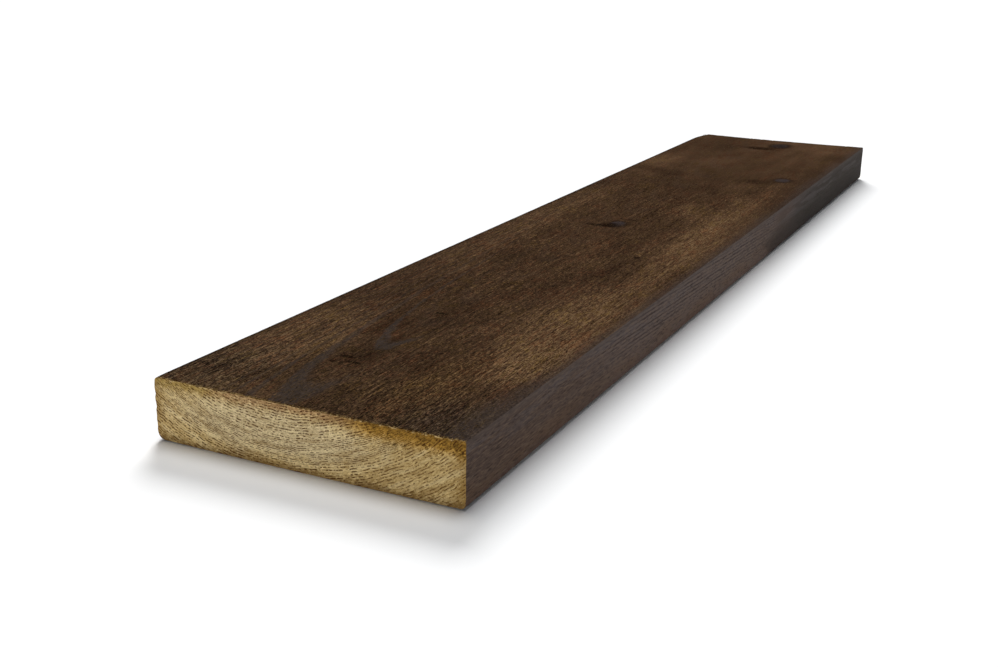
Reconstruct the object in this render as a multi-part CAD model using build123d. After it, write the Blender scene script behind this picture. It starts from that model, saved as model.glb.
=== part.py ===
from build123d import *
import os

# Pine cladding board: one length of flat-sawn pine, planed on the back and both edges,
# fine-sawn on the face that shows on the wall, and cut square at both ends.
#
# The board lies on its planed back. +X runs across it, +Y along it, and +Z out of the sawn
# face. The origin is the middle of the back. The end that faces -Y is the one seen from the
# front, and left and right are as seen from there. Sizes are in millimetres.

board_length = 740.0
board_width = 145.0
board_thickness = 28.0

# The board is a little cupped, which leaves the sawn face hollow: its middle lies this far
# below the crests beside its two arrises. The back stays flat, to bear on the battens.
face_hollow = 0.5

# The arrises differ. The face was sawn last, so its arrises are nearly sharp, and the two at
# the back keep the rounding of the planer's cutters.
face_arris_left = 1.6
face_arris_right = 0.8
back_arris_left = 2.6
back_arris_right = 2.2

# An arris is a quarter circle, so the two on one edge share the thickness, and a very thin
# board limits them to this part of it.
arris_share = 0.45


def arris(radius):
    """The radius of an arris, limited by the thickness."""
    return min(radius, arris_share * board_thickness)


def planed_blank():
    """The blank's section: a rectangle that stands on its back, with an arris at each corner."""
    left, right = -board_width / 2, board_width / 2
    corners = [
        ((left, 0), back_arris_left),
        ((right, 0), back_arris_right),
        ((right, board_thickness), face_arris_right),
        ((left, board_thickness), face_arris_left),
    ]
    points = [point for point, radius in corners]
    radii = [arris(radius) for point, radius in corners]
    return make_face(FilletPolyline(*points, radius=radii, close=True))


def sawn_hollow():
    """The shallow segment that the cup takes off the face, between the crests of its arrises."""
    crest_left = (-board_width / 2 + arris(face_arris_left), board_thickness)
    crest_right = (board_width / 2 - arris(face_arris_right), board_thickness)
    chord = Line(crest_left, crest_right)
    sag = SagittaArc(crest_left, crest_right, -face_hollow)
    return make_face([chord, sag])


def board():
    """The section run along the board, half its length each way from the middle."""
    section = Plane.XZ * (planed_blank() - sawn_hollow())
    return extrude(section, amount=board_length / 2, both=True)


os.makedirs("parts", exist_ok=True)
export_step(board(), "parts/board.step")
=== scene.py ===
import math

import bpy
import numpy as np
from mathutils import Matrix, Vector, noise


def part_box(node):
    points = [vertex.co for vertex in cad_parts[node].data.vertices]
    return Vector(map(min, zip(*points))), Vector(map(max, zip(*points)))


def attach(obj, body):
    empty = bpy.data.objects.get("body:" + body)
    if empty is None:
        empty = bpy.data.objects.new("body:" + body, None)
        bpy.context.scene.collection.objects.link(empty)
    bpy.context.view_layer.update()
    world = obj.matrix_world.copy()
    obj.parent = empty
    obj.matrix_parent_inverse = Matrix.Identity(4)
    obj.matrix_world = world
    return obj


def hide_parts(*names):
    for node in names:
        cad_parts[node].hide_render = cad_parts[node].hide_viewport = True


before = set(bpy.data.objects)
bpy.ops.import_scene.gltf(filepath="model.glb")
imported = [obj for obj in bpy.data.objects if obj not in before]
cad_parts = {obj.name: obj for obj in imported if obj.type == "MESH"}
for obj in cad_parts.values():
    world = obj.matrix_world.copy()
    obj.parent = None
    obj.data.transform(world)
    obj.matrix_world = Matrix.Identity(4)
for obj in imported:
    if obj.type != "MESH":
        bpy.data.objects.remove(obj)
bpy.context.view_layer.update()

# A pine cladding board, fine-sawn on the face and planed on the back and edges, stained dark
# brown all round and then cut to length, so that both ends show pale bare wood.
#
# Values are in millimetres in the CAD frame unless a comment says otherwise: +X across the
# board, +Y along it from the end that the camera faces, and +Z out of the sawn face. A place
# "across, along" has its along counted from the near end.

MM = 0.001
LOW, HIGH = (np.array(corner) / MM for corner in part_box("board"))
LEFT, NEAR, BACK = LOW
RIGHT, FAR, FACE = HIGH
MIDDLE, HALF_WIDTH = (LEFT + RIGHT) / 2, (RIGHT - LEFT) / 2

# The section's sizes, as in the part's source.
FACE_HOLLOW = 0.5
FACE_ARRIS_LEFT, FACE_ARRIS_RIGHT = 1.6, 0.8
BACK_ARRIS_LEFT, BACK_ARRIS_RIGHT = 2.6, 2.2

# The plain face, edges and ends lie this far inside the outline, and their highest grain rises
# to it.
SKIN, EDGE_SKIN, END_SKIN = 0.25, 0.10, 0.20
# Grain, pits and tears together reach no deeper below the plain face than this.
DEEPEST_TEAR = 0.8
# The board is cupped, so the edges of its back stand this far off the floor.
BACK_CUP = 0.5

# Growth rings. The pith ran along the board above its face. A ring's radius shrinks towards
# the near end by the stem's taper, so the face cuts the rings in long pointed arches.
PITH_X, PITH_Z = -11.0, 110.0
FACE_RADIUS = PITH_Z - FACE + SKIN + FACE_HOLLOW
TAPER = 0.032
# Where the arches of the first rings come to a point, along from the near end. The rings after
# them are this wide.
ARCH_POINTS = [-5.5, 75.0, 113.0, 155.0]
RING_WIDTH = 1.5
# Between these depths of wood below the face, the tree grew slower and its rings are narrow.
SLOW_DEPTHS, SLOW_RING_WIDTH = (14.0, 24.0), 0.95
# The rings sway: the size of each sway across, along and through, and its reach.
RING_SWAYS = [((30, 90, 30), 0.7), ((6, 24, 6), 0.35)]

# Knots where branches leave through the face: across, along, and the half width and half length
# that the face shows. They get wider away from the pith.
KNOTS = [
    (-8.0, 359.0, 5.5, 8.5),
    (48.5, 555.0, 7.0, 8.0),
    (6.5, 711.0, 8.0, 11.0),
]
# A branch leans towards the near end as it leaves the stem, by this part of its run.
KNOT_LEAN = 0.4
# A knot's outline is ragged: the size of its rags across, along and through, and their reach.
KNOT_RAGS, KNOT_STRAY = (4, 7, 4), (3.5, 5, 3.5)
# The rings part by this much round a knot, from this part of its size out to this multiple.
KNOT_PARTING, PARTING_START, PARTING_END = 3.5, 0.6, 2.8
# Hollows that the saw tore across the grain, mostly on the near side of a knot: across, along,
# half width, half length, and how dark and deep each is, where 1 is the most. Their darkness is
# painted shade in the hollow. One with a shorter half length than this has a crisp outline.
NICK_LENGTH = 3.5
TEARS = [
    (-17.0, 350.5, 10.0, 3.0, 0.7),
    (-11.0, 354.5, 5.5, 4.5, 0.95),
    (-4.0, 373.0, 7.0, 2.0, 0.5),
    (33.0, 541.0, 13.0, 9.0, 0.5),
    (-6.0, 692.0, 12.0, 7.5, 0.9),
    (6.0, 709.0, 7.0, 8.0, 0.6),
    (-17.6, 61.0, 4.0, 1.3, 0.8),
    (-10.5, 55.5, 4.5, 1.2, 0.7),
    (-19.5, 53.0, 1.2, 1.6, 0.6),
    (-12.0, 136.0, 3.5, 1.5, 0.7),
    (33.0, 284.0, 2.0, 2.4, 0.8),
    (-56.0, 554.0, 12.0, 10.0, 0.35),
    (-38.0, 544.0, 14.0, 10.0, 0.3),
]
# Patches of the face where the stain lies thicker or thinner and the saw tore it more or less:
# across, along, half width, half length, how much lighter and how much rougher.
PATCHES = [
    (-58.0, 14.0, 20.0, 30.0, 0.03, 0.72),
    (-50.0, 4.0, 22.0, 9.0, 0.16, 0.00),
    (-50.0, 28.0, 14.0, 8.0, -0.08, 0.00),
    (-50.0, 75.0, 20.0, 50.0, 0.15, 0.10),
    (-16.0, 110.0, 18.0, 45.0, -0.04, -0.14),
    (-4.0, 72.0, 12.0, 16.0, -0.06, -0.10),
    (44.0, 10.0, 34.0, 34.0, -0.02, 0.30),
    (32.0, 42.0, 9.0, 34.0, 0.10, 0.10),
    (57.0, 88.0, 15.0, 26.0, 0.11, 0.20),
    (53.0, 145.0, 23.0, 76.0, 0.19, 0.09),
    (-4.0, 359.0, 26.0, 26.0, 0.00, -0.14),
    (55.0, 370.0, 20.0, 110.0, 0.20, 0.02),
    (22.0, 425.0, 12.0, 36.0, 0.10, 0.00),
    (40.0, 250.0, 14.0, 34.0, -0.04, 0.00),
    (54.0, 232.0, 14.0, 26.0, 0.04, 0.00),
    (-57.0, 345.0, 13.0, 120.0, 0.11, 0.05),
    (-60.0, 585.0, 13.0, 34.0, 0.12, 0.05),
    (-2.0, 540.0, 16.0, 70.0, -0.06, -0.05),
    (0.0, 670.0, 90.0, 150.0, 0.02, -0.55),
    (-36.0, 700.0, 16.0, 44.0, -0.06, 0.00),
    (-10.0, 600.0, 16.0, 60.0, 0.03, 0.00),
    (50.0, 715.0, 24.0, 30.0, 0.09, 0.00),
    (8.0, 728.0, 14.0, 8.0, 0.10, 0.00),
]
# How rough the rest of the face is.
ROUGH = 0.58


def linear(code):
    """The linear colour of an sRGB hex code."""
    parts = [int(code[k:k + 2], 16) / 255 for k in (0, 2, 4)]
    parts = [p / 12.92 if p <= 0.04045 else ((p + 0.055) / 1.055) ** 2.4 for p in parts]
    return (*parts, 1.0)


def add(tree, kind, settings, sockets, out=0):
    """Adds a node with its settings and its sockets' values or links, and returns an output, or
    the node where out is None. The setting "stops" fills a colour ramp."""
    node = tree.nodes.new("ShaderNode" + kind)
    for name, value in settings.items():
        if name != "stops":
            setattr(node, name, value)
            continue
        elements = node.color_ramp.elements
        for position, code in value[2:]:
            elements.new(position)
        for element, (position, code) in zip(elements, value):
            element.position, element.color = position, linear(code)
    for name, value in sockets.items():
        if isinstance(value, bpy.types.NodeSocket):
            tree.links.new(value, node.inputs[name])
        else:
            node.inputs[name].default_value = value
    return node if out is None else node.outputs[out]


# Settings that many nodes share.
TIMES = {"operation": "MULTIPLY"}
TIMES_TO_ONE = {"operation": "MULTIPLY", "use_clamp": True}
PLUS = {"operation": "ADD"}
MINUS = {"operation": "SUBTRACT"}
TIMES_PLUS = {"operation": "MULTIPLY_ADD"}
LARGER = {"operation": "MAXIMUM"}
LENGTH = {"operation": "LENGTH"}
SMOOTH = {"interpolation_type": "SMOOTHSTEP"}
BLEND = {"data_type": "RGBA"}
TINT = {"data_type": "RGBA", "blend_type": "MULTIPLY"}


def grain_noise(tree, place, size, detail, roughness=0.5):
    """Noise whose cells have a real size across, along and through the board."""
    cells = add(tree, "VectorMath", TIMES, {0: place, 1: [1 / s for s in size]})
    sockets = {"Vector": cells, "Scale": 1.0, "Detail": detail, "Roughness": roughness}
    return add(tree, "TexNoise", {}, sockets)


def stray(tree, place, size, reach):
    """A place moved about by noise, so that what is drawn from it has a ragged outline."""
    cells = add(tree, "VectorMath", TIMES, {0: place, 1: [1 / s for s in size]})
    moved = add(tree, "TexNoise", {}, {"Vector": cells, "Scale": 1.0, "Detail": 2.0}, 1)
    moved = add(tree, "VectorMath", MINUS, {0: moved, 1: (0.5, 0.5, 0.5)})
    return add(tree, "VectorMath", TIMES_PLUS, {0: moved, 1: reach, 2: place})


def paint(tree, colour, layers):
    """Lays colours over a base one after another, each by its own share. A colour is a hex code or
    another node's output."""
    for share, code in layers:
        laid = linear(code) if isinstance(code, str) else code
        colour = add(tree, "Mix", BLEND, {0: share, 6: colour, 7: laid}, 2)
    return colour


def total(tree, base, terms):
    """Adds patterns to a base, each as its distance from one half times its weight."""
    for pattern, weight in terms:
        swing = add(tree, "Math", MINUS, {0: pattern, 1: 0.5})
        base = add(tree, "Math", TIMES_PLUS, {0: swing, 1: weight, 2: base})
    return base


def oval_reach(tree, place, centre, half_size):
    """How far a place is from an oval's middle on the face, where 1 is the oval's edge."""
    offset = add(tree, "VectorMath", MINUS, {0: place, 1: (centre[0], NEAR + centre[1], 0)})
    scale = (1 / half_size[0], 1 / half_size[1], 0)
    ratio = add(tree, "VectorMath", TIMES, {0: offset, 1: scale})
    return add(tree, "VectorMath", LENGTH, {0: ratio}, 1)


def spot(tree, place, centre, half_size, soft):
    """An oval spot on the face: 1 in its middle, and 0 outside its soft edge."""
    reach = oval_reach(tree, place, centre, half_size)
    return add(tree, "MapRange", SMOOTH, {0: reach, 1: 1 - soft, 2: 1 + soft, 3: 1.0, 4: 0.0})


def on_face(tree, place):
    """Where the branch through a place leaves the face: knots fan out from the pith."""
    x, y, z = add(tree, "SeparateXYZ", {}, {0: place}, None).outputs
    depth = add(tree, "Math", TIMES_PLUS, {0: z, 1: -1 / FACE_RADIUS, 2: PITH_Z / FACE_RADIUS})
    across = add(tree, "Math", MINUS, {0: x, 1: PITH_X})
    across = add(tree, "Math", {"operation": "DIVIDE"}, {0: across, 1: depth})
    across = add(tree, "Math", PLUS, {0: across, 1: PITH_X})
    beyond = add(tree, "Math", MINUS, {0: depth, 1: 1.0})
    along = add(tree, "Math", TIMES_PLUS, {0: beyond, 1: KNOT_LEAN * FACE_RADIUS, 2: y})
    return add(tree, "CombineXYZ", {}, {0: across, 1: along, 2: 0.0})


def knot_reach(tree, place):
    """How far a place is from the nearest knot's middle, where 1 is the knot's own edge."""
    exit_place = on_face(tree, stray(tree, place, KNOT_RAGS, KNOT_STRAY))
    nearest = None
    for across, along, half_width, half_length in KNOTS:
        reach = oval_reach(tree, exit_place, (across, along), (half_width, half_length))
        if nearest is None:
            nearest = reach
        else:
            nearest = add(tree, "Math", {"operation": "MINIMUM"}, {0: nearest, 1: reach})
    return nearest


def growth_rings(tree, place, knots):
    """Counts the rings outwards from the first one at the face. The grain parts round a knot."""
    from_pith = add(tree, "VectorMath", MINUS, {0: place, 1: (PITH_X, NEAR, PITH_Z)})
    spoke = add(tree, "VectorMath", TIMES, {0: from_pith, 1: (1, 0, 1)})
    radius = add(tree, "VectorMath", LENGTH, {0: spoke}, 1)
    along = add(tree, "SeparateXYZ", {}, {0: from_pith}, None).outputs[1]
    grown = add(tree, "Math", TIMES_PLUS, {0: along, 1: -TAPER, 2: radius})
    sways = [(grain_noise(tree, place, size, 1.0), reach) for size, reach in RING_SWAYS]
    grown = total(tree, grown, sways)
    if knots is not None:
        reach = {0: knots, 1: PARTING_START, 2: PARTING_END, 3: KNOT_PARTING, 4: 0.0}
        parting = add(tree, "MapRange", SMOOTH, reach)
        grown = add(tree, "Math", PLUS, {0: grown, 1: parting})

    # Where the ring through this place comes to a point on the face, along from the near end.
    depth = add(tree, "Math", MINUS, {0: grown, 1: FACE_RADIUS})
    point = add(tree, "Math", TIMES, {0: depth, 1: -1 / TAPER})
    count = add(tree, "Math", MINUS, {0: ARCH_POINTS[0], 1: point})
    count = add(tree, "Math", LARGER, {0: count, 1: 0.0})
    count = add(tree, "Math", TIMES, {0: count, 1: TAPER / RING_WIDTH})
    for start, end in zip(ARCH_POINTS, ARCH_POINTS[1:]):
        ring = add(tree, "MapRange", {}, {0: point, 1: start, 2: end, 3: 0.0, 4: -1.0})
        count = add(tree, "Math", PLUS, {0: count, 1: ring})
    younger = add(tree, "Math", MINUS, {0: point, 1: ARCH_POINTS[-1]})
    younger = add(tree, "Math", LARGER, {0: younger, 1: 0.0})
    count = add(tree, "Math", TIMES_PLUS, {0: younger, 1: -TAPER / RING_WIDTH, 2: count})
    shallow, deep = SLOW_DEPTHS
    more = (deep - shallow) * (1 / SLOW_RING_WIDTH - 1 / RING_WIDTH)
    slow = add(tree, "MapRange", {}, {0: depth, 1: shallow, 2: deep, 3: 0.0, 4: more})
    return add(tree, "Math", PLUS, {0: slow, 1: count})


def latewood(tree, rings, start, full):
    """The dense outer part of each ring: it comes on slowly, between two shares of the ring's
    width, and stops sharply."""
    part = add(tree, "Math", {"operation": "FRACT"}, {0: rings})
    come = add(tree, "MapRange", SMOOTH, {0: part, 1: start, 2: full, 3: 0.0, 4: 1.0})
    stop = add(tree, "MapRange", SMOOTH, {0: part, 1: 0.92, 2: 1.0, 3: 1.0, 4: 0.0})
    return add(tree, "Math", TIMES, {0: come, 1: stop})


def empty_tree(owner):
    """The node tree of a material or a world, without nodes."""
    owner.use_nodes = True
    owner.node_tree.nodes.clear()
    return owner.node_tree


def new_material(name):
    """A new node material, its empty tree, and the board's own coordinates in millimetres."""
    material = bpy.data.materials.new(name)
    tree = empty_tree(material)
    own = add(tree, "TexCoord", {}, {}, 3)
    place = add(tree, "VectorMath", {"operation": "SCALE"}, {0: own, "Scale": 1 / MM})
    return material, tree, place


def finish_material(tree, colour, height, depth, roughness, constants):
    """Joins a colour, a relief of a depth in millimetres, a roughness and the values of other
    sockets in a shader."""
    bump = add(tree, "Bump", {}, {"Height": height, "Distance": depth * MM})
    sockets = {"Base Color": colour, "Normal": bump, "Roughness": roughness, **constants}
    shader = add(tree, "BsdfPrincipled", {}, sockets)
    add(tree, "OutputMaterial", {}, {"Surface": shader}, None)


def sawn_stained_pine():
    """Fine-sawn pine under a dark brown stain. The saw tore the soft earlywood into pits and short
    fibres, which take more stain, and left the dense latewood smooth and greyer. Pits, checks and
    tears are painted darker still, as painted shade in them. The rough surface scatters light, so
    it looks matt from every side."""
    material, tree, place = new_material("sawn_stained_pine")
    knots = knot_reach(tree, place)
    rings = growth_rings(tree, place, knots)
    across, along = add(tree, "SeparateXYZ", {}, {0: place}, None).outputs[:2]

    # How much lighter and how rough each patch is. Their outlines stray.
    loose = stray(tree, place, (12, 40, 12), (9, 30, 0))
    light, rough = 0.5, ROUGH
    for patch_across, patch_along, half_width, half_length, lighter, rougher in PATCHES:
        patch = spot(tree, loose, (patch_across, patch_along), (half_width, half_length), 0.6)
        light = add(tree, "Math", TIMES_PLUS, {0: patch, 1: lighter, 2: light})
        rough = add(tree, "Math", TIMES_PLUS, {0: patch, 1: rougher, 2: rough})

    # Torn fibres are 0.05 mm wide. They are drawn about 0.4 mm wide and 4 mm long, so that they
    # show, with coarser strands and tufts between them.
    fibre = grain_noise(tree, place, (0.42, 4.0, 0.42), 3.0, 0.8)
    strand = grain_noise(tree, place, (0.9, 14, 0.9), 2.0, 0.6)
    tuft = grain_noise(tree, place, (0.6, 1.3, 0.6), 1.0, 0.6)
    streak = grain_noise(tree, place, (1.1, 45, 1.1), 2.0, 0.6)
    cloud = grain_noise(tree, place, (16, 45, 16), 3.0, 0.55)
    torn = total(tree, 0.0, [(fibre, 2.6), (strand, 0.8), (tuft, 0.9), (streak, 0.6)])
    tone = total(tree, light, [(streak, 0.1), (cloud, 0.28)])
    tone = add(tree, "Math", TIMES_PLUS, {0: torn, 1: rough, 2: tone})
    stops = [
        (0.16, "150d07"), (0.37, "38291e"), (0.49, "4b3829"),
        (0.61, "5f4836"), (0.74, "765b41"), (0.94, "9b7c59"),
    ]
    colour = add(tree, "ValToRGB", {"stops": stops}, {0: tone})

    # The stain is redder in some places and yellower in others, in flecks and over wider zones.
    fleck = grain_noise(tree, place, (1.6, 9, 1.6), 3.0, 0.7)
    zone = grain_noise(tree, place, (16, 32, 16), 2.0, 0.5)
    hue = total(tree, fleck, [(zone, 0.5)])
    for start, full, tint in (
        (0.50, 0.65, (1.0, 0.80, 0.72, 1)),
        (0.47, 0.32, (1.0, 0.97, 0.70, 1)),
    ):
        share = add(tree, "MapRange", SMOOTH, {0: hue, 1: start, 2: full, 3: 0.0, 4: 0.9})
        colour = add(tree, "Mix", TINT, {0: share, 6: colour, 7: tint}, 2)
    # It is greyer at the two near corners, and yellower between them.
    for centre, half_size, tint in (
        ((-60, 16), (24, 34), (0.93, 1.0, 1.09, 1)),
        ((62, 10), (22, 24), (0.84, 0.95, 1.14, 1)),
        ((32, 50), (14, 38), (1.0, 0.98, 0.88, 1)),
    ):
        share = spot(tree, loose, centre, half_size, 0.6)
        colour = add(tree, "Mix", TINT, {0: share, 6: colour, 7: tint}, 2)

    # The latewood arches show on the left of the pith, most of all the first two. The torn fibres
    # feather their outlines.
    late = latewood(tree, total(tree, rings, [(fibre, 0.4), (strand, 0.15)]), 0.55, 0.72)
    from_pith = add(tree, "Math", MINUS, {0: across, 1: PITH_X})
    left_limb = add(tree, "MapRange", SMOOTH, {0: from_pith, 1: -38.0, 2: -8.0, 3: 0.35, 4: 1.0})
    right_limb = add(tree, "MapRange", SMOOTH, {0: from_pith, 1: 4.0, 2: 11.0, 3: 1.0, 4: 0.06})
    first_rings = add(tree, "MapRange", SMOOTH, {0: rings, 1: -2.2, 2: -1.0, 3: 0.15, 4: 1.0})
    arch = late
    for limit in (left_limb, right_limb, first_rings):
        arch = add(tree, "Math", TIMES, {0: arch, 1: limit})
    smooth_arch = add(tree, "Math", TIMES, {0: arch, 1: 0.8})

    # Pits where the saw plucked the earlywood out. They are wider than long, as its teeth went
    # across the board. Their near black is the stain the torn wood takes and painted shade in the
    # pit.
    plucked = grain_noise(tree, place, (1.2, 0.8, 1.2), 1.0, 0.5)
    plucked = add(tree, "MapRange", SMOOTH, {0: plucked, 1: 0.38, 2: 0.32, 3: 0.0, 4: 1.5})
    firm = add(tree, "Math", MINUS, {0: rough, 1: arch})
    plucked = add(tree, "Math", TIMES_TO_ONE, {0: plucked, 1: firm})
    # Fine checks, where the surface opened along the grain as it dried, painted dark as shade in
    # the crack.
    check = grain_noise(tree, place, (0.6, 24, 0.6), 1.0, 0.5)
    check = add(tree, "MapRange", SMOOTH, {0: check, 1: 0.37, 2: 0.30, 3: 0.0, 4: 1.0})
    check = add(tree, "Math", TIMES_TO_ONE, {0: check, 1: firm})

    # Knots are denser and greyer than the wood round them, with a dark ragged rim.
    inside = add(tree, "MapRange", SMOOTH, {0: knots, 1: 1.2, 2: 0.6, 3: 0.0, 4: 0.92})
    rim = add(tree, "MapRange", SMOOTH, {0: knots, 1: 0.6, 2: 0.95, 3: 0.0, 4: 0.6})
    away = add(tree, "MapRange", SMOOTH, {0: knots, 1: 1.0, 2: 1.6, 3: 1.0, 4: 0.0})
    rim = add(tree, "Math", TIMES, {0: rim, 1: away})

    # A smoother grey strip runs beside the right arris, wider at the near end, with a darker one
    # inside it over the far half. The left arris is a little darker than the face.
    from_near = add(tree, "Math", MINUS, {0: along, 1: NEAR})
    to_right = add(tree, "Math", MINUS, {0: RIGHT, 1: across})
    to_left = add(tree, "Math", MINUS, {0: across, 1: LEFT})
    widened = add(tree, "MapRange", SMOOTH, {0: from_near, 1: 10.0, 2: 110.0, 3: 6.0, 4: 0.0})
    strays = [(streak, -9.0), (cloud, -12.0), (tuft, -9.0), (fibre, -9.0)]
    loose_right = total(tree, to_right, strays)
    loose_right = add(tree, "Math", MINUS, {0: loose_right, 1: widened})
    strip = add(tree, "MapRange", SMOOTH, {0: loose_right, 1: 10.0, 2: -2.0, 3: 0.0, 4: 0.7})
    inner = add(tree, "MapRange", SMOOTH, {0: to_right, 1: 22.0, 2: 12.0, 3: 0.0, 4: 0.5})
    far_half = add(tree, "MapRange", SMOOTH, {0: from_near, 1: 250.0, 2: 420.0, 3: 0.0, 4: 1.0})
    far_stop = add(tree, "MapRange", SMOOTH, {0: from_near, 1: 570.0, 2: 660.0, 3: 1.0, 4: 0.3})
    for limit in (far_half, far_stop):
        inner = add(tree, "Math", TIMES, {0: inner, 1: limit})
    left_dark = add(tree, "MapRange", SMOOTH, {0: to_left, 1: 1.0, 2: 4.0, 3: 0.7, 4: 0.0})

    knot_wood = add(tree, "Mix", BLEND, {0: tuft, 6: linear("191312"), 7: linear("564d4e")}, 2)
    arch_wood = add(tree, "Mix", BLEND, {0: fibre, 6: linear("171514"), 7: linear("5b504a")}, 2)
    strip_wood = add(tree, "Mix", BLEND, {0: tuft, 6: linear("080605"), 7: linear("63564f")}, 2)
    layers = [
        (smooth_arch, arch_wood), (check, "1a110a"), (plucked, "170e08"),
        (inside, knot_wood), (rim, "22170f"),
    ]
    # The outline of a long tear is ragged. A short one is a crisper nick, with darker painted
    # shade.
    long = stray(tree, place, (3, 5, 3), (5, 4, 0)), 0.5, "20140c"
    nick = stray(tree, place, (2, 2, 2), (1.0, 1.2, 0)), 0.3, "0c0704"
    for tear_across, tear_along, half_width, half_length, deep in TEARS:
        outline, soft, dark = nick if half_length < NICK_LENGTH else long
        tear = spot(tree, outline, (tear_across, tear_along), (half_width, half_length), soft)
        tear = add(tree, "Math", TIMES, {0: tear, 1: 0.95 * deep})
        layers.append((tear, dark))
    layers += [(inner, "3a2a20"), (strip, strip_wood), (left_dark, "2a221d")]

    # Bare wood shows where the near end splintered.
    to_end = add(tree, "Math", MINUS, {0: from_near, 1: END_SKIN})
    splinter = total(tree, to_end, [(tuft, -4.5), (cloud, -3.0)])
    splinter = add(tree, "MapRange", SMOOTH, {0: splinter, 1: 0.5, 2: 0.0, 3: 0.0, 4: 0.8})
    layers.append((splinter, "a5854f"))
    colour = paint(tree, colour, layers)

    height = add(tree, "Math", TIMES_PLUS, {0: plucked, 1: -0.8, 2: tone})
    matt = {"Specular IOR Level": 0.0, "Diffuse Roughness": 0.4}
    finish_material(tree, colour, height, 0.25, 0.95, matt)
    return material


def planed_stained_pine():
    """Planed pine under the same stain. The cutters left it flat, so the stain lies even on it, in
    greyer and browner stretches, and the latewood shows as fine darker lines with a faint sheen."""
    material, tree, place = new_material("planed_stained_pine")
    knots = knot_reach(tree, place)
    rings = growth_rings(tree, place, knots)
    late = latewood(tree, rings, 0.45, 0.75)
    along, up = add(tree, "SeparateXYZ", {}, {0: place}, None).outputs[1:]
    cloud = grain_noise(tree, place, (9, 40, 9), 3.0, 0.6)
    fine = grain_noise(tree, place, (0.55, 5.0, 0.55), 3.0, 0.75)

    # Warm brown at the near end, then mauve grey, and charcoal over the last third.
    drift = total(tree, along, [(cloud, 110.0)])
    stretch = add(tree, "MapRange", {}, {0: drift, 1: NEAR, 2: FAR, 3: 0.0, 4: 1.0})
    stops = [
        (0.0, "50423b"), (0.14, "55463e"), (0.22, "625550"),
        (0.5, "635650"), (0.62, "51443e"), (0.72, "38332f"),
    ]
    colour = add(tree, "ValToRGB", {"stops": stops}, {0: stretch})

    # The lines show best in the upper half of the middle stretch, and the lower half is browner.
    come = add(tree, "MapRange", SMOOTH, {0: drift, 1: NEAR + 100, 2: NEAR + 170, 3: 0.1, 4: 1.0})
    go = add(tree, "MapRange", SMOOTH, {0: drift, 1: NEAR + 380, 2: NEAR + 480, 3: 1.0, 4: 0.15})
    upper = add(tree, "MapRange", SMOOTH, {0: up, 1: 6.0, 2: 15.0, 3: 0.15, 4: 0.85})
    uneven = grain_noise(tree, place, (2.5, 45, 2.5), 2.0, 0.6)
    uneven = add(tree, "MapRange", SMOOTH, {0: uneven, 1: 0.35, 2: 0.6, 3: 0.25, 4: 1.0})
    line = add(tree, "Math", TIMES, {0: late, 1: upper})
    for limit in (come, go, uneven):
        line = add(tree, "Math", TIMES, {0: line, 1: limit})
    low = add(tree, "MapRange", SMOOTH, {0: up, 1: 16.0, 2: 6.0, 3: 0.0, 4: 0.9})
    patchy = add(tree, "MapRange", SMOOTH, {0: cloud, 1: 0.35, 2: 0.65, 3: 0.2, 4: 0.8})
    low = add(tree, "Math", TIMES, {0: low, 1: patchy})
    low = add(tree, "Math", TIMES, {0: low, 1: go})
    speck = add(tree, "MapRange", SMOOTH, {0: fine, 1: 0.5, 2: 0.66, 3: 0.0, 4: 0.85})
    scratch = add(tree, "MapRange", SMOOTH, {0: fine, 1: 0.48, 2: 0.34, 3: 0.0, 4: 0.8})
    speck = add(tree, "Math", TIMES, {0: speck, 1: go})
    scratch = add(tree, "Math", TIMES, {0: scratch, 1: go})
    # The stain is bluer in streaks, laid on more strongly towards the face as a painted reflection
    # of the bright floor, and the edge is painted nearly black low down at the far end as painted
    # shade.
    blue = grain_noise(tree, place, (3.5, 50, 3.5), 3.0, 0.6)
    blue = add(tree, "MapRange", SMOOTH, {0: blue, 1: 0.46, 2: 0.62, 3: 0.0, 4: 0.6})
    high = add(tree, "MapRange", SMOOTH, {0: up, 1: 8.0, 2: FACE, 3: 0.2, 4: 1.0})
    blue = add(tree, "Math", TIMES, {0: blue, 1: high})
    # Painted shade: nearly black low down on the far part of the edge, near the floor.
    low_far = add(tree, "MapRange", SMOOTH, {0: up, 1: 20.0, 2: 8.0, 3: 0.0, 4: 0.6})
    beyond = add(tree, "MapRange", SMOOTH, {0: go, 1: 0.9, 2: 0.3, 3: 0.0, 4: 1.0})
    low_far = add(tree, "Math", TIMES, {0: low_far, 1: beyond})
    # Painted highlight: a lighter band along the top of the edge, where its rounded arris catches
    # the light.
    wear_and_painted_highlight = add(tree, "MapRange", SMOOTH, {0: up, 1: FACE - 5, 2: FACE - 1, 3: 0.0, 4: 0.45})
    inside = add(tree, "MapRange", SMOOTH, {0: knots, 1: 1.1, 2: 0.8, 3: 0.0, 4: 0.8})
    layers = [
        (blue, "5a5353"), (line, "2b2220"), (low, "634e40"), (speck, "6b5a4c"), (scratch, "2f2520"),
        (wear_and_painted_highlight, "564d49"), (low_far, "26221f"), (inside, "2a2527"),
    ]
    colour = paint(tree, colour, layers)
    height = add(tree, "Math", TIMES_PLUS, {0: late, 1: 0.6, 2: fine})
    finish_material(tree, colour, height, 0.08, 0.7, {"Specular IOR Level": 0.02})
    return material


# The torn dashes on a cut end: how far they run along a ring, how many rows of them there are in
# a ring, and how much of a row's spacing one is thick.
DASH_RUN, DASH_ROWS, DASH_THICKNESS = 1.3, 1.3, 0.34
# The middle of a cut end is paler and greyer: its place across and up, and its reach each way.
CORE_X, CORE_Z, CORE_REACH_X, CORE_REACH_Z = -14.0, 15.0, 58.0, 13.0


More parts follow.
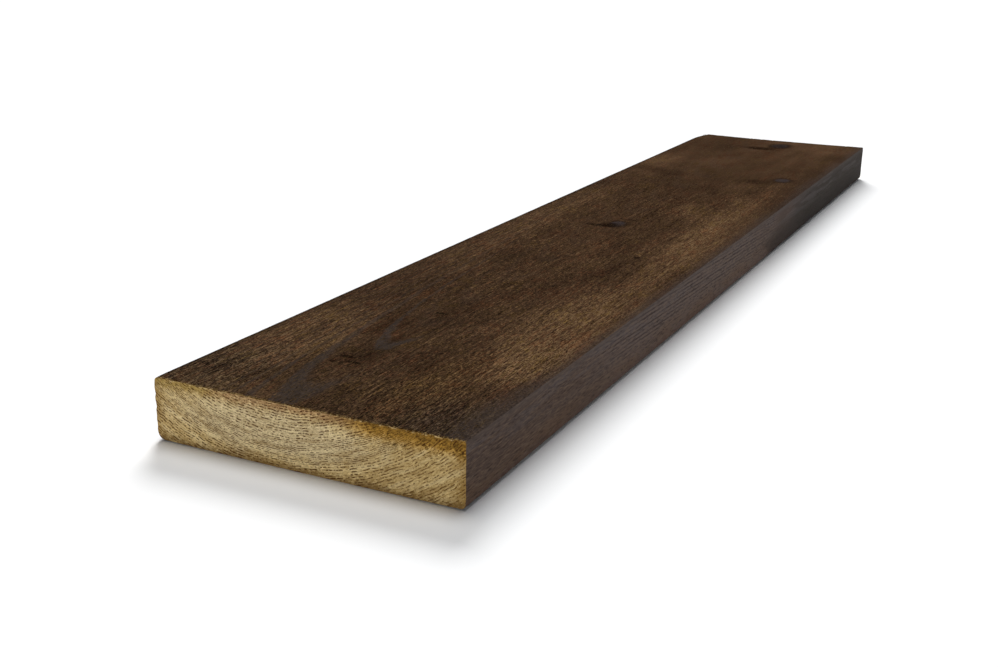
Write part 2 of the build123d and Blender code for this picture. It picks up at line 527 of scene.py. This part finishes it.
def bare_end_grain():
    """Pine cut across the grain after staining: pale bare wood, where the earlywood of each ring is
    torn into short dark dashes. The stain went a few millimetres in from the faces."""
    material, tree, place = new_material("bare_end_grain")
    rings = growth_rings(tree, place, None)
    late = latewood(tree, rings, 0.4, 0.8)
    parts = add(tree, "SeparateXYZ", {}, {0: place}, None).outputs
    across, up = parts[0], parts[2]

    # Place along a ring, as the angle round the pith times the radius at the face.
    from_pith_x = add(tree, "Math", MINUS, {0: across, 1: PITH_X})
    from_pith_z = add(tree, "Math", MINUS, {0: PITH_Z, 1: up})
    angle = add(tree, "Math", {"operation": "ARCTAN2"}, {0: from_pith_x, 1: from_pith_z})
    round_pith = add(tree, "Math", TIMES, {0: angle, 1: FACE_RADIUS})
    # The rows waver, and each row has its own dashes.
    waver = grain_noise(tree, place, (6, 6, 6), 2.0, 0.5)
    rows = add(tree, "Math", TIMES, {0: rings, 1: DASH_ROWS})
    rows = total(tree, rows, [(waver, 1.4)])
    along_rings = add(tree, "CombineXYZ", {}, {0: round_pith, 1: rows, 2: 0.0})
    row = add(tree, "Math", {"operation": "FLOOR"}, {0: rows})
    in_row = add(tree, "Math", {"operation": "FRACT"}, {0: rows})
    off_line = add(tree, "Math", MINUS, {0: in_row, 1: 0.5})
    off_line = add(tree, "Math", {"operation": "ABSOLUTE"}, {0: off_line})
    half = DASH_THICKNESS / 2
    outer, inner = 1.4 * half, 0.6 * half
    line = add(tree, "MapRange", SMOOTH, {0: off_line, 1: outer, 2: inner, 3: 0.0, 4: 1.0})
    own_row = add(tree, "CombineXYZ", {}, {0: round_pith, 1: row, 2: 0.5})
    chance = grain_noise(tree, own_row, (DASH_RUN, 0.3, 1), 2.0, 0.7)
    dash = add(tree, "MapRange", SMOOTH, {0: chance, 1: 0.46, 2: 0.56, 3: 0.0, 4: 1.0})
    dash = add(tree, "Math", TIMES, {0: dash, 1: line})
    wear_and_painted_highlight = grain_noise(tree, place, (6, 6, 6), 3.0, 0.7)
    wear_and_painted_highlight = add(tree, "MapRange", SMOOTH, {0: wear_and_painted_highlight, 1: 0.3, 2: 0.5, 3: 0.6, 4: 1.0})
    dash = add(tree, "Math", TIMES, {0: dash, 1: wear_and_painted_highlight})
    # They are finest at the right.
    rightwards = add(tree, "MapRange", SMOOTH, {0: across, 1: 22.0, 2: 42.0, 3: 0.0, 4: 1.0})
    bolder = add(tree, "MapRange", {}, {0: rightwards, 1: 0.0, 2: 1.0, 3: 1.0, 4: 0.76})
    dash = add(tree, "Math", TIMES, {0: dash, 1: bolder})

    pale = grain_noise(tree, place, (9, 9, 9), 3.0, 0.6)
    furry = grain_noise(tree, along_rings, (1.5, 0.5, 1), 3.0, 0.8)
    tuft = grain_noise(tree, place, (1.3, 1.3, 1.3), 2.0, 0.6)
    mix = add(tree, "MapRange", {}, {0: furry, 1: 0.3, 2: 0.7, 3: 0.0, 4: 1.0})
    colour = add(tree, "Mix", BLEND, {0: mix, 6: linear("7c5e2d"), 7: linear("f4d797")}, 2)
    grey = add(tree, "Mix", BLEND, {0: mix, 6: linear("846f47"), 7: linear("f5dfb0")}, 2)
    core = add(tree, "VectorMath", MINUS, {0: place, 1: (CORE_X, 0, CORE_Z)})
    core = add(tree, "VectorMath", TIMES, {0: core, 1: (1 / CORE_REACH_X, 0, 1 / CORE_REACH_Z)})
    core = add(tree, "VectorMath", LENGTH, {0: core}, 1)
    core = total(tree, core, [(pale, 0.9)])
    core = add(tree, "MapRange", SMOOTH, {0: core, 1: 0.4, 2: 1.15, 3: 1.0, 4: 0.0})
    colour = add(tree, "Mix", BLEND, {0: core, 6: colour, 7: grey}, 2)

    # How deep the place lies below the face, the back and the nearer edge. The stain's front
    # is ragged.
    ragged = total(tree, 0.0, [(furry, 6.0), (tuft, 7.0), (pale, 6.0)])
    from_middle = add(tree, "Math", {"operation": "ABSOLUTE"}, {0: across})
    to_edge = add(tree, "Math", MINUS, {0: HALF_WIDTH, 1: from_middle})
    to_face = add(tree, "Math", MINUS, {0: FACE - FACE_HOLLOW, 1: up})
    loose_face = add(tree, "Math", PLUS, {0: ragged, 1: to_face})
    loose_edge = add(tree, "Math", PLUS, {0: ragged, 1: to_edge})
    loose_back = add(tree, "Math", PLUS, {0: ragged, 1: up})
    edge_rim = add(tree, "MapRange", SMOOTH, {0: loose_edge, 1: 0.0, 2: 7.0, 3: 0.7, 4: 0.0})
    # The band along the back is stain that soaked in from the back, painted darker still as shade
    # along the bottom edge, where the board meets the floor.
    back_rim = add(tree, "MapRange", SMOOTH, {0: loose_back, 1: 0.0, 2: 5.0, 3: 0.8, 4: 0.0})
    face_rim = add(tree, "MapRange", SMOOTH, {0: loose_face, 1: 0.8, 2: 5.4, 3: 0.85, 4: 0.0})
    deep_rim = add(tree, "MapRange", SMOOTH, {0: loose_face, 1: 3.5, 2: 9.5, 3: 0.95, 4: 0.0})
    deeper = add(tree, "MapRange", SMOOTH, {0: across, 1: 9.0, 2: 34.0, 3: 0.0, 4: 1.0})
    deep_rim = add(tree, "Math", TIMES, {0: deep_rim, 1: deeper})
    fringe = add(tree, "MapRange", SMOOTH, {0: to_face, 1: 0.9, 2: 0.1, 3: 0.0, 4: 0.8})
    sparse = add(tree, "MapRange", SMOOTH, {0: tuft, 1: 0.50, 2: 0.68, 3: 0.0, 4: 1.0})
    fringe = add(tree, "Math", TIMES, {0: fringe, 1: sparse})
    # The latewood shows faintly, and the wood is a little browner at the right.
    faint = add(tree, "Math", TIMES, {0: late, 1: 0.15})
    browner = add(tree, "Math", TIMES, {0: rightwards, 1: 0.2})
    # Groups of rings are a little darker or paler than the rest.
    banded = grain_noise(tree, along_rings, (18, 3.2, 1), 2.0, 0.55)
    dim = add(tree, "MapRange", SMOOTH, {0: banded, 1: 0.50, 2: 0.34, 3: 0.0, 4: 0.42})
    bright = add(tree, "MapRange", SMOOTH, {0: banded, 1: 0.50, 2: 0.66, 3: 0.0, 4: 0.4})
    # Deep in the right half of the rim the soaked wood is blotchy, and darkest under the face.
    blotch = total(tree, mix, [(tuft, 1.8), (pale, 1.4)])
    soaked = add(tree, "Mix", BLEND, {0: blotch, 6: linear("362204"), 7: linear("ce9c42")}, 2)
    darkest = add(tree, "MapRange", SMOOTH, {0: to_face, 1: 0.5, 2: 6.0, 3: 0.5, 4: 0.0})
    darkest = add(tree, "Math", TIMES, {0: darkest, 1: deeper})
    # Under the face the rim is olive at the left and redder in the middle.
    reddish = add(tree, "Mix", BLEND, {0: mix, 6: linear("553719"), 7: linear("c69c6c")}, 2)
    olive = add(tree, "Mix", BLEND, {0: mix, 6: linear("5a4312"), 7: linear("c2a25a")}, 2)
    redder = add(tree, "MapRange", SMOOTH, {0: across, 1: -50.0, 2: -36.0, 3: 0.0, 4: 1.0})
    rim_wood = add(tree, "Mix", BLEND, {0: redder, 6: olive, 7: reddish}, 2)
    # The dashes are painted dark, as painted shade in their torn hollows.
    layers = [
        (faint, "8f7a50"), (dim, "8a6b38"), (bright, "efdaa6"), (browner, "6b4a16"),
        (edge_rim, "8a6a34"), (back_rim, "6f532b"), (face_rim, rim_wood), (deep_rim, soaked),
        (darkest, "573b0c"), (dash, "482206"), (fringe, "d8bb84"),
    ]
    colour = paint(tree, colour, layers)
    height = add(tree, "Math", TIMES_PLUS, {0: dash, 1: -0.8, 2: furry})
    finish_material(tree, colour, height, 0.25, 0.85, {"Specular IOR Level": 0.1})
    return material


def arc(x, z, radius, start, end, parts):
    """Points of a round arris, from one angle in degrees to another."""
    turn = np.radians(np.linspace(start, end, parts + 1))
    return np.stack([x + radius * np.cos(turn), z + radius * np.sin(turn)], 1)


def run(start, end, parts):
    """Evenly spaced points between two others, without the two."""
    share = np.linspace(0, 1, parts + 1)[1:-1, None]
    return np.array(start) * (1 - share) + np.array(end) * share


def hollow(across, depth):
    """How far a cupped surface lies below its edges."""
    return depth * (1 - ((across - MIDDLE) / HALF_WIDTH) ** 2)


# How many parts the section's face, its edges and half an arris are cut into, and the board's
# length. A cut edge has fine steps beside it. The others grow from the near end to the far one,
# in this proportion.
FACE_PARTS, EDGE_PARTS, ARRIS_PARTS, ROWS = 132, 16, 2, 440
END_STEPS, STEP_GROWTH = [0.3, 0.5], (0.85, 2.5)
# The surface is smooth where it turns by fewer degrees than this.
SHARP_TURN = 50
# The back needs fewer: each of its parts meets four of the face's at the ends.
BACK_SHARE = 4
TOP_COUNT = FACE_PARTS + 2 * ARRIS_PARTS
BACK_COUNT = TOP_COUNT // BACK_SHARE
SIDE_COUNT = EDGE_PARTS + 2 * ARRIS_PARTS


def section():
    """The section's four chains of points: over the face, down the right edge, along the back and
    up the left edge. Each starts where the one before ends, in the middle of an arris."""
    left, right = LEFT + EDGE_SKIN, RIGHT - EDGE_SKIN
    top, bottom = FACE - SKIN, BACK + BACK_CUP
    corners = {}
    for name, x, z, radius, side, upper in (
        ("face_left", left, top, FACE_ARRIS_LEFT, 1, -1),
        ("face_right", right, top, FACE_ARRIS_RIGHT, -1, -1),
        ("back_right", right, bottom, BACK_ARRIS_RIGHT, -1, 1),
        ("back_left", left, bottom, BACK_ARRIS_LEFT, 1, 1),
    ):
        corners[name] = (x + side * radius, z + upper * radius, radius)

    n = ARRIS_PARTS
    face_in = arc(*corners["face_left"], 135, 90, n)
    face_out = arc(*corners["face_right"], 90, 45, n)
    right_in = arc(*corners["face_right"], 45, 0, n)
    right_out = arc(*corners["back_right"], 0, -45, n)
    back_in = arc(*corners["back_right"], -45, -90, n)
    back_out = arc(*corners["back_left"], -90, -135, n)
    left_in = arc(*corners["back_left"], -135, -180, n)
    left_out = arc(*corners["face_left"], 180, 135, n)

    face = run(face_in[-1], face_out[0], FACE_PARTS)
    face[:, 1] -= hollow(face[:, 0], FACE_HOLLOW)
    back = run(back_in[-1], back_out[0], BACK_COUNT - 2 * n)
    back[:, 1] -= hollow(back[:, 0], BACK_CUP)
    return (
        np.concatenate([face_in, face, face_out]),
        np.concatenate([right_in, run(right_in[-1], right_out[0], EDGE_PARTS), right_out]),
        np.concatenate([back_in, back, back_out]),
        np.concatenate([left_in, run(left_in[-1], left_out[0], EDGE_PARTS), left_out]),
    )


def stations():
    """Places along the board, closer together towards the near end and at both cut edges."""
    growth = np.linspace(*STEP_GROWTH, ROWS - 2 * len(END_STEPS))
    growth *= (FAR - NEAR - 2 * END_SKIN - 2 * sum(END_STEPS)) / growth.sum()
    steps = np.concatenate([END_STEPS, growth, END_STEPS[::-1]])
    return NEAR + END_SKIN + np.concatenate([[0], np.cumsum(steps)])


def wander(points, size, seed):
    """Smooth noise over points, with cells of a real size across, along and through the board."""
    cells = points / np.array(size) + seed
    return np.array([noise.noise(Vector(cell)) for cell in cells])


def fade(value, start, end):
    """0 at the start, 1 at the end, and smooth between."""
    share = np.clip((value - start) / (end - start), 0, 1)
    return share * share * (3 - 2 * share)


def oval(points, across, along, half_width, half_length):
    """How far points on the face are from an oval's middle, where 1 is its edge."""
    offset = (points[:, 0] - across) / half_width, (points[:, 1] - NEAR - along) / half_length
    return np.hypot(*offset)


# Each layer of relief: its height, the size of its cells across, along and through, and a seed.
SAWN_GRAIN = [(0.07, (1.3, 6.0, 1.3), 11.3), (0.10, (5.0, 25.0, 5.0), 27.1)]
SAWN_PITS = (0.25, (1.7, 2.4, 1.7), 41.7)
PLANED_GRAIN = [(0.16, (2.0, 30.0, 2.0), 5.9), (0.05, (1.3, 6.0, 1.3), 61.3)]
END_TEARING = [(0.25, (1.3, 1.3, 1.3), 17.9), (0.12, (4, 4, 4), 33.7)]
# How far a knot stands up, and the depths of the groove round it and of a tear listed as 1.
KNOT_RISE, KNOT_GROOVE, TEAR_DEPTH = 0.15, 0.12, 0.5


def layered(points, layers):
    """The height of several layers of relief together."""
    return sum(height * wander(points, size, seed) for height, size, seed in layers)


def sawn_relief(points):
    """The height of the sawn face above its plain surface."""
    height = layered(points, SAWN_GRAIN)
    depth, size, seed = SAWN_PITS
    height -= depth * fade(wander(points, size, seed), 0.30, 0.6)
    for knot in KNOTS:
        reach = oval(points, *knot)
        groove = KNOT_GROOVE * fade(np.abs(reach - 1.1), 0.25, 0.0)
        height += KNOT_RISE * fade(reach, 1.1, 0.6) - groove
    for *tear, deep in TEARS:
        height -= TEAR_DEPTH * deep * fade(oval(points, *tear), 1.2, 0.5)
    return np.clip(height, -DEEPEST_TEAR, SKIN)


def planed_relief(points):
    """The height of the grain that rises again on a planed edge."""
    return np.minimum(layered(points, PLANED_GRAIN), EDGE_SKIN - 0.01)


def end_relief(points):
    """How deep the saw tore the cut end."""
    return np.maximum(layered(points, END_TEARING), 0.03 - END_SKIN)


# Handling wore the corners on the left, and the saw chipped the near end's left arris in small
# notches: where each of them ends along the board, its level up the edge and how far it reaches
# down or up from there, how deep it is, its length and its width.
WORN_CORNERS = [
    (FAR, FACE, 28.0, 5.0, 30.0, 20.0),
    (NEAR, FACE, 4.0, 0.5, 8.0, 5.0),
    (NEAR, BACK, 5.0, 1.0, 8.0, 6.0),
    (NEAR, 20.6, 1.5, 0.5, 3.0, 3.0),
    (NEAR, 15.2, 1.9, 0.6, 4.0, 3.0),
    (NEAR, 11.0, 1.4, 0.4, 3.0, 3.0),
    (NEAR, 6.6, 1.6, 0.5, 3.0, 3.0),
]


def wear(points):
    """Moves points in from the worn corners of the left edge."""
    for end, level, reach, depth, length, width in WORN_CORNERS:
        along = np.clip(1 - np.abs(points[:, 1] - end) / length, 0, 1) ** 2
        inwards = np.clip(1 - (points[:, 0] - LEFT) / width, 0, 1)
        height = np.clip(1 - np.abs(points[:, 2] - level) / reach, 0, 1)
        points[:, 0] += depth * along * inwards * height


def coons(top, bottom, left, right):
    """The points inside four chains, which run rightwards and upwards."""
    across = np.linspace(0, 1, len(top))[None, :, None]
    up = np.linspace(0, 1, len(left))[:, None, None]
    ruled = (1 - up) * bottom[None] + up * top[None]
    ruled = ruled + (1 - across) * left[:, None] + across * right[:, None]
    lower = (1 - across) * bottom[0] + across * bottom[-1]
    upper = (1 - across) * top[0] + across * top[-1]
    return ruled - (1 - up) * lower - up * upper


def end_cap(first, y, points, faces, outwards):
    """Closes one end with a grid that joins the tube's row of points, which starts at first."""
    top, right, back, left = section()
    bottom = back[::-1]
    places = np.linspace(0, len(bottom) - 1, len(top))
    bottom = np.stack([np.interp(places, np.arange(len(bottom)), bottom[:, k]) for k in (0, 1)], 1)
    inner = coons(top, bottom, left, right[::-1])[1:-1, 1:-1]
    rows, columns = SIDE_COUNT, TOP_COUNT
    grid = np.zeros((rows + 1, columns + 1), int)
    grid[rows, :] = first + np.arange(columns + 1)
    grid[::-1, columns] = first + columns + np.arange(rows + 1)
    back_first = first + columns + rows
    back_row = back_first + np.arange(BACK_COUNT + 1)[::-1]
    up_left = back_first + BACK_COUNT + np.arange(rows + 1)
    up_left[-1] = first
    grid[:, 0] = up_left
    count = sum(len(p) for p in points)
    grid[1:-1, 1:-1] = count + np.arange(inner.shape[0] * inner.shape[1]).reshape(inner.shape[:2])
    flat = inner.reshape(-1, 2)
    new = np.stack([flat[:, 0], np.full(len(flat), y), flat[:, 1]], 1)
    new[:, 1] -= outwards * end_relief(new)
    wear(new)
    points.append(new)

    cells = []
    for j in range(1, rows):
        for i in range(columns):
            cells.append([grid[j, i], grid[j, i + 1], grid[j + 1, i + 1], grid[j + 1, i]])
    for m in range(BACK_COUNT):
        i = m * BACK_SHARE
        upper = [grid[1, i + k] for k in range(BACK_SHARE, -1, -1)]
        cells.append([back_row[m], back_row[m + 1]] + upper)
    if outwards > 0:
        cells = [cell[::-1] for cell in cells]
    faces.extend([int(v) for v in cell] for cell in cells)


def board_mesh():
    """The board as one closed mesh, with its relief and a material for each kind of surface."""
    outline = np.concatenate([chain[:-1] for chain in section()])
    before, after = np.roll(outline, 1, 0), np.roll(outline, -1, 0)
    tangent = after - before
    outward = np.stack([-tangent[:, 1], tangent[:, 0]], 1)
    outward /= np.linalg.norm(outward, axis=1)[:, None]

    rows = stations()
    columns = len(outline)
    tube = np.zeros((len(rows), columns, 3))
    tube[:, :, 0], tube[:, :, 2] = outline[:, 0], outline[:, 1]
    tube[:, :, 1] = rows[:, None]
    normal = np.zeros_like(tube)
    normal[:, :, 0], normal[:, :, 2] = outward[:, 0], outward[:, 1]
    flat, normal = tube.reshape(-1, 3), normal.reshape(-1, 3)
    # The face's relief grows weaker near its arrises, and the edges' own takes over round them.
    to_edge = np.minimum(flat[:, 0] - LEFT, RIGHT - flat[:, 0])
    face_share = fade(normal[:, 2], 0.3, 0.9) * (0.3 + 0.7 * fade(to_edge, 0.5, 5.0))
    edge_share = 1 - fade(np.abs(normal[:, 2]), 0.3, 0.9)
    height = sawn_relief(flat) * face_share + planed_relief(flat) * edge_share
    flat += normal * np.minimum(height, SKIN)[:, None]
    wear(flat)

    points, faces = [flat], []
    for r in range(len(rows) - 1):
        for c in range(columns):
            nxt = (c + 1) % columns
            base, above = r * columns, (r + 1) * columns
            faces.append([base + c, base + nxt, above + nxt, above + c])
    tube_faces = len(faces)
    end_cap(0, rows[0], points, faces, -1)
    end_cap((len(rows) - 1) * columns, rows[-1], points, faces, 1)

    points = np.concatenate(points)
    mesh = bpy.data.meshes.new("pine_board")
    mesh.from_pydata((points * MM).tolist(), [], faces)
    kinds = np.full(len(faces), 2)
    column = np.arange(tube_faces) % columns
    kinds[:tube_faces] = np.where(column < TOP_COUNT, 0, 1)
    mesh.polygons.foreach_set("material_index", kinds)
    mesh.polygons.foreach_set("use_smooth", np.ones(len(faces), bool))
    mesh.set_sharp_from_angle(angle=math.radians(SHARP_TURN))
    mesh.update()
    return mesh


def make_board():
    """The board's detailed surface, which stands for the plain CAD board."""
    board = bpy.data.objects.new("pine_board", board_mesh())
    bpy.context.collection.objects.link(board)
    for material in (sawn_stained_pine(), planed_stained_pine(), bare_end_grain()):
        board.data.materials.append(material)
    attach(board, "root")
    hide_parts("board")


# Fibres that the saws tore up and left standing: how many lie on the face and along the top of
# the near end, their length and half thickness, and how steeply they stand, in degrees.
FACE_FIBRES, END_FIBRES = 42000, 1000
FIBRE_LENGTH, FIBRE_THICKNESS, FIBRE_RISE = (1.0, 3.4), (0.06, 0.11), (2.0, 16.0)
FRINGE_LENGTH, FRINGE_THICKNESS, FRINGE_RISE = (0.5, 1.8), (0.10, 0.20), (5.0, 60.0)
# How far they mostly turn from the grain, in degrees.
FIBRE_TURN, FRINGE_TURN = 12, 40
# Those on the face start this far in from its edges and its ends, and the fringe within this
# strip. This power crowds them towards the near end, where they show most.
SIDE_MARGIN, END_MARGIN, FRINGE_STRIP, CROWDING = 2, 1, (0.1, 1.4), 1.4
# They keep this far inside the outline.
FIBRE_CLEARANCE = 0.02


def torn_pine_fibres():
    """Loose wood fibre: a thin stain on the face leaves it lighter than the board, and at the near
    end it is bare. It has no sheen."""
    material, tree, place = new_material("torn_pine_fibres")
    mix = grain_noise(tree, place, (0.9, 2.0, 0.9), 2.0, 0.6)
    shade = add(tree, "MapRange", {}, {0: mix, 1: 0.35, 2: 0.7, 3: 0.0, 4: 1.0})
    colour = add(tree, "Mix", BLEND, {0: shade, 6: linear("2b1f16"), 7: linear("836947")}, 2)
    along = add(tree, "SeparateXYZ", {}, {0: place}, None).outputs[1]
    bare = add(tree, "MapRange", SMOOTH, {0: along, 1: NEAR + 2.4, 2: NEAR + 1.4, 3: 0.0, 4: 0.95})
    palest = add(tree, "MapRange", {}, {0: mix, 1: 0.47, 2: 0.72, 3: 0.0, 4: 1.0})
    bare_wood = add(tree, "Mix", BLEND, {0: palest, 6: linear("5a3f1c"), 7: linear("d8bb84")}, 2)
    colour = paint(tree, colour, [(bare, bare_wood)])
    finish_material(tree, colour, mix, 0.02, 0.95, {"Specular IOR Level": 0.0})
    return material


def spikes(bases, ways, lengths, thicknesses):
    """Closed three-sided spikes, one for each base, in one mesh."""
    across = np.cross(ways, (0, 0, 1))
    across /= np.linalg.norm(across, axis=1)[:, None]
    upwards = np.cross(across, ways)
    corners = []
    for turn in np.radians((90, 210, 330)):
        offset = math.cos(turn) * across + math.sin(turn) * upwards
        corners.append(bases + offset * thicknesses[:, None])
    tips = bases + ways * lengths[:, None]
    points = np.stack([*corners, tips], 1).reshape(-1, 3)
    first = 4 * np.arange(len(bases))[:, None, None]
    faces = (first + np.array([[0, 1, 2], [0, 3, 1], [1, 3, 2], [2, 3, 0]])).reshape(-1, 3)
    mesh = bpy.data.meshes.new("torn_fibres")
    mesh.from_pydata((points * MM).tolist(), [], faces.tolist())
    mesh.update()
    return mesh


def make_fibres():
    """The torn fibres on the face, and the fringe along the top of the near end."""
    rng = np.random.default_rng(12)
    count = FACE_FIBRES + END_FIBRES
    fringe = np.arange(count) >= FACE_FIBRES

    def pick(fringe_range, face_range):
        """A random value for each fibre, from the range of its kind."""
        return np.where(fringe, rng.uniform(*fringe_range, count), rng.uniform(*face_range, count))

    x = rng.uniform(LEFT + SIDE_MARGIN, RIGHT - SIDE_MARGIN, count)
    y = NEAR + END_MARGIN + (FAR - NEAR - 2 * END_MARGIN) * rng.random(count) ** CROWDING
    y = np.where(fringe, NEAR + END_SKIN + rng.uniform(*FRINGE_STRIP, count), y)
    backwards = fringe | (rng.random(count) < 0.5)
    turn = np.radians(rng.normal(0, 1, count) * np.where(fringe, FRINGE_TURN, FIBRE_TURN))
    turn += np.where(backwards, math.pi, 0)
    rise = np.radians(pick(FRINGE_RISE, FIBRE_RISE))
    length = pick(FRINGE_LENGTH, FIBRE_LENGTH)
    thickness = pick(FRINGE_THICKNESS, FIBRE_THICKNESS)

    bases = np.stack([x, y, FACE - SKIN - hollow(x, FACE_HOLLOW)], 1)
    bases[:, 2] += sawn_relief(bases) - 0.5 * thickness
    room = FACE - FIBRE_CLEARANCE - thickness - bases[:, 2]
    rise = np.minimum(rise, np.arcsin(np.clip(room / length, 0.01, 1)))
    flat = np.cos(rise)
    ways = np.stack([np.sin(turn) * flat, np.cos(turn) * flat, np.sin(rise)], 1)
    end_room = (FAR - FIBRE_CLEARANCE - np.abs(y)) / np.maximum(np.abs(ways[:, 1]), 0.1)
    length = np.minimum(length, end_room)
    fibres = bpy.data.objects.new("torn_fibres", spikes(bases, ways, length, thickness))
    bpy.context.collection.objects.link(fibres)
    fibres.data.materials.append(torn_pine_fibres())
    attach(fibres, "root")


# Studio. The floor and the sky are white to the camera and in reflections. The board is lit by a
# soft lamp from behind on the left, a broad one overhead, a low weak one from the camera's side
# for the cut end and the right edge, and a dim even sky. The sky is a little cool, which keeps
# the shadow grey where the bare wood warms it.
SKY_LIGHT = (0.080, 0.087, 0.096, 1)
LAMPS = {
    # Each lamp's light on a surface square to it, its elevation, its heading and its spread, the
    # last three in degrees.
    "back_lamp": (0.84, 35.5, 207.5, 23.0),
    "top_lamp": (0.48, 76.0, 210.0, 30.0),
    "low_front_lamp": (0.46, 4.0, 26.0, 8.0),
}
FLOOR_SIZE = 14.0
# The light that the floor gives back to the board, of 1.
FLOOR_RETURN = 0.8


def seen_share(tree):
    """1 for a ray that shows the background: one from the camera, or reflected or let through."""
    path = add(tree, "LightPath", {}, {}, None).outputs
    seen = add(tree, "Math", LARGER, {0: path["Is Camera Ray"], 1: path["Is Glossy Ray"]})
    return add(tree, "Math", LARGER, {0: seen, 1: path["Is Transmission Ray"]})


def make_floor():
    """A plain white floor. It returns less light to the board than the camera sees."""
    bpy.ops.mesh.primitive_plane_add(size=FLOOR_SIZE)
    floor = bpy.context.object
    floor.name = "floor"
    material = bpy.data.materials.new("white_floor")
    tree = empty_tree(material)
    dim = (FLOOR_RETURN, FLOOR_RETURN, FLOOR_RETURN, 1)
    colour = add(tree, "Mix", BLEND, {0: seen_share(tree), 6: dim, 7: (1, 1, 1, 1)}, 2)
    shader = add(tree, "BsdfDiffuse", {}, {"Color": colour})
    add(tree, "OutputMaterial", {}, {"Surface": shader}, None)
    floor.data.materials.append(material)


def make_light():
    """The three soft lamps and the sky."""
    for name, (light, elevation, heading, spread) in LAMPS.items():
        lamp = bpy.data.lights.new(name, "SUN")
        lamp.energy = light * math.pi
        lamp.angle = math.radians(spread)
        holder = bpy.data.objects.new(name, lamp)
        bpy.context.collection.objects.link(holder)
        holder.rotation_euler = (math.radians(90 - elevation), 0, math.radians(heading))
    world = bpy.data.worlds.new("sky")
    bpy.context.scene.world = world
    tree = empty_tree(world)
    light = add(tree, "Mix", BLEND, {0: seen_share(tree), 6: SKY_LIGHT, 7: (1, 1, 1, 1)}, 2)
    sky = add(tree, "Background", {}, {"Color": light, "Strength": 1.0})
    add(tree, "OutputWorld", {}, {"Surface": sky}, None)


def make_camera():
    """The photograph's view of the near end and the right edge, fitted to the board's outline."""
    camera = bpy.data.cameras.new("camera")
    camera.lens, camera.sensor_width = 45.0, 36.0
    camera.clip_start, camera.clip_end = 0.01, 50.0
    holder = bpy.data.objects.new("camera", camera)
    bpy.context.collection.objects.link(holder)
    holder.location = (0.26606, -0.74037, 0.20515)
    holder.rotation_euler = [math.radians(a) for a in (71.985, -0.825, 26.269)]
    bpy.context.scene.camera = holder


make_board()
make_fibres()
make_floor()
make_light()
make_camera()
bpy.context.scene.view_settings.view_transform = "Standard"
